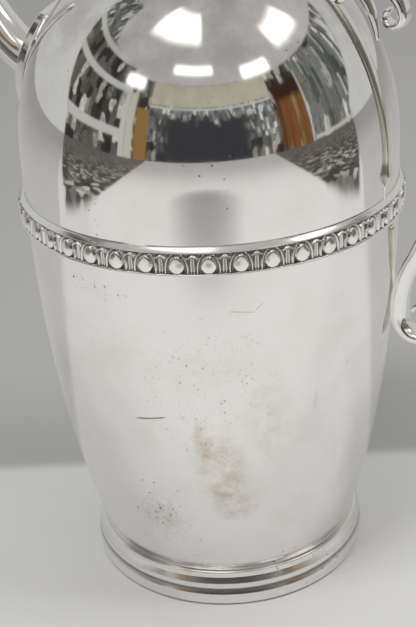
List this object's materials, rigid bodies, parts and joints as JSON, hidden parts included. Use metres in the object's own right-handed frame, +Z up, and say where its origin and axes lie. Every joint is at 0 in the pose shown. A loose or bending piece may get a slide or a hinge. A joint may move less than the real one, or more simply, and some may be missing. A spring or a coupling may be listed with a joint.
{
  "type": "coffee pot",
  "caption": "Footed silver-plated coffee pot with a tall barrel body, egg-and-dart belt, swan-neck spout, scroll handle with insulators and a hinged domed lid with a finial.",
  "frame": {"origin": "centre of the foot, on the surface that the pot stands on", "axes": "+Z up; +X towards the handle, so the spout points to -X; +Y across, along the lid's hinge"},
  "size_m": [0.2241, 0.1168, 0.2406],
  "materials": {
    "plate_body": "spun sheet with polished, lightly worn silver plate",
    "plate_trim": "cast and turned pieces in polished silver plate, dark in the recesses",
    "insulation": "black hard fibre"
  },
  "bodies": {
    "pot": {"foot_ring": "plate_trim", "bottom_plate": "plate_body", "lower_body": "plate_body", "upper_body": "plate_body", "belt": "plate_trim", "neck_band": "plate_trim", "spout_base": "plate_trim", "spout": "plate_trim", "back_strap": "plate_trim", "upper_scroll": "plate_trim", "upper_sockets": "plate_trim", "upper_insulator": "insulation", "grip": "plate_trim", "lower_insulator": "insulation", "lower_sockets": "plate_trim", "cross_pins": "plate_trim", "lower_scroll": "plate_trim", "strut": "plate_trim", "body_hinge_leaf": "plate_trim", "hinge_pin": "plate_trim"},
    "lid": {"lid": "plate_body", "lid_bezel": "plate_trim", "lid_hinge_leaf": "plate_trim", "finial_plate": "plate_trim", "finial_washer": "insulation", "finial": "plate_trim", "finial_nut": "plate_trim"}
  },
  "joints": [
    {"name": "lid_hinge", "type": "hinge", "parent": "pot", "child": "lid", "pos_m": [0.0356, 0, 0.19527], "axis": [0, 1, 0], "range_deg": [0, 100]}
  ]
}
